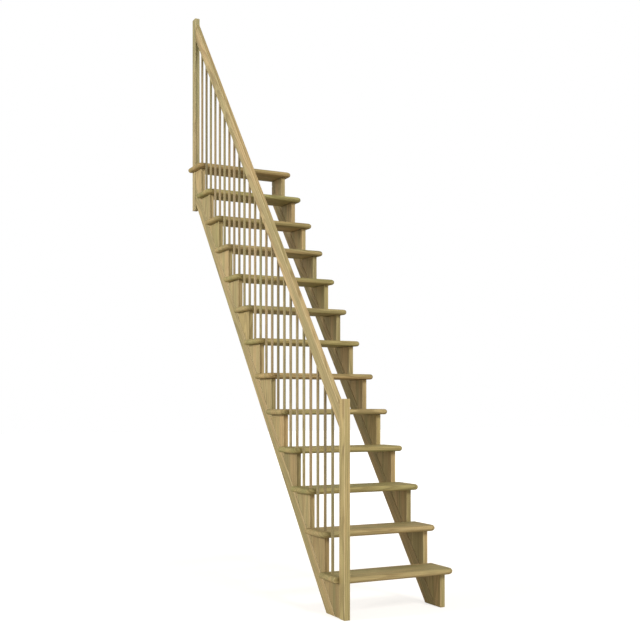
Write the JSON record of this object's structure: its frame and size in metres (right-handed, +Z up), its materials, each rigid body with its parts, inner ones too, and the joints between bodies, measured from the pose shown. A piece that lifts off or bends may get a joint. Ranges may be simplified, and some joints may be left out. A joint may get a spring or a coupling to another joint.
{
  "type": "space-saving staircase",
  "caption": "Steep straight wooden stair with open risers, cut stringers, bullnosed treads and a one-sided handrail on round balusters between two newels.",
  "frame": {"origin": "centre of the top tread's back edge face, which lies on the landing plane that the stair is fixed against; the tread's top is 16 mm above it", "axes": "+Y in the climbing direction, square to the landing plane and out of the stair's back; +X to the right of a person climbing; +Z up. The floor is 2.779 m below the origin"},
  "size_m": [0.72, 2.307, 3.857],
  "materials": {
    "treads": "satin lacquered pine",
    "step_blocks": "satin lacquered pine",
    "stringer_planks": "satin lacquered pine",
    "newels": "satin lacquered pine",
    "handrail": "satin lacquered pine",
    "balusters": "satin lacquered pine"
  },
  "bodies": {
    "root": {"tread_01": "treads", "tread_02": "treads", "tread_03": "treads", "tread_04": "treads", "tread_05": "treads", "tread_06": "treads", "tread_07": "treads", "tread_08": "treads", "tread_09": "treads", "tread_10": "treads", "tread_11": "treads", "tread_12": "treads", "tread_13": "treads", "stringer_plank_left": "stringer_planks", "stringer_plank_right": "stringer_planks", "step_blocks_left": "step_blocks", "step_blocks_right": "step_blocks", "newel_bottom": "newels", "newel_top": "newels", "handrail": "handrail", "baluster_01": "balusters", "baluster_02": "balusters", "baluster_03": "balusters", "baluster_04": "balusters", "baluster_05": "balusters", "baluster_06": "balusters", "baluster_07": "balusters", "baluster_08": "balusters", "baluster_09": "balusters", "baluster_10": "balusters", "baluster_11": "balusters", "baluster_12": "balusters", "baluster_13": "balusters", "baluster_14": "balusters", "baluster_15": "balusters", "baluster_16": "balusters", "baluster_17": "balusters", "baluster_18": "balusters", "baluster_19": "balusters", "baluster_20": "balusters", "baluster_21": "balusters", "baluster_22": "balusters", "baluster_23": "balusters", "baluster_24": "balusters"}
  },
  "joints": []
}
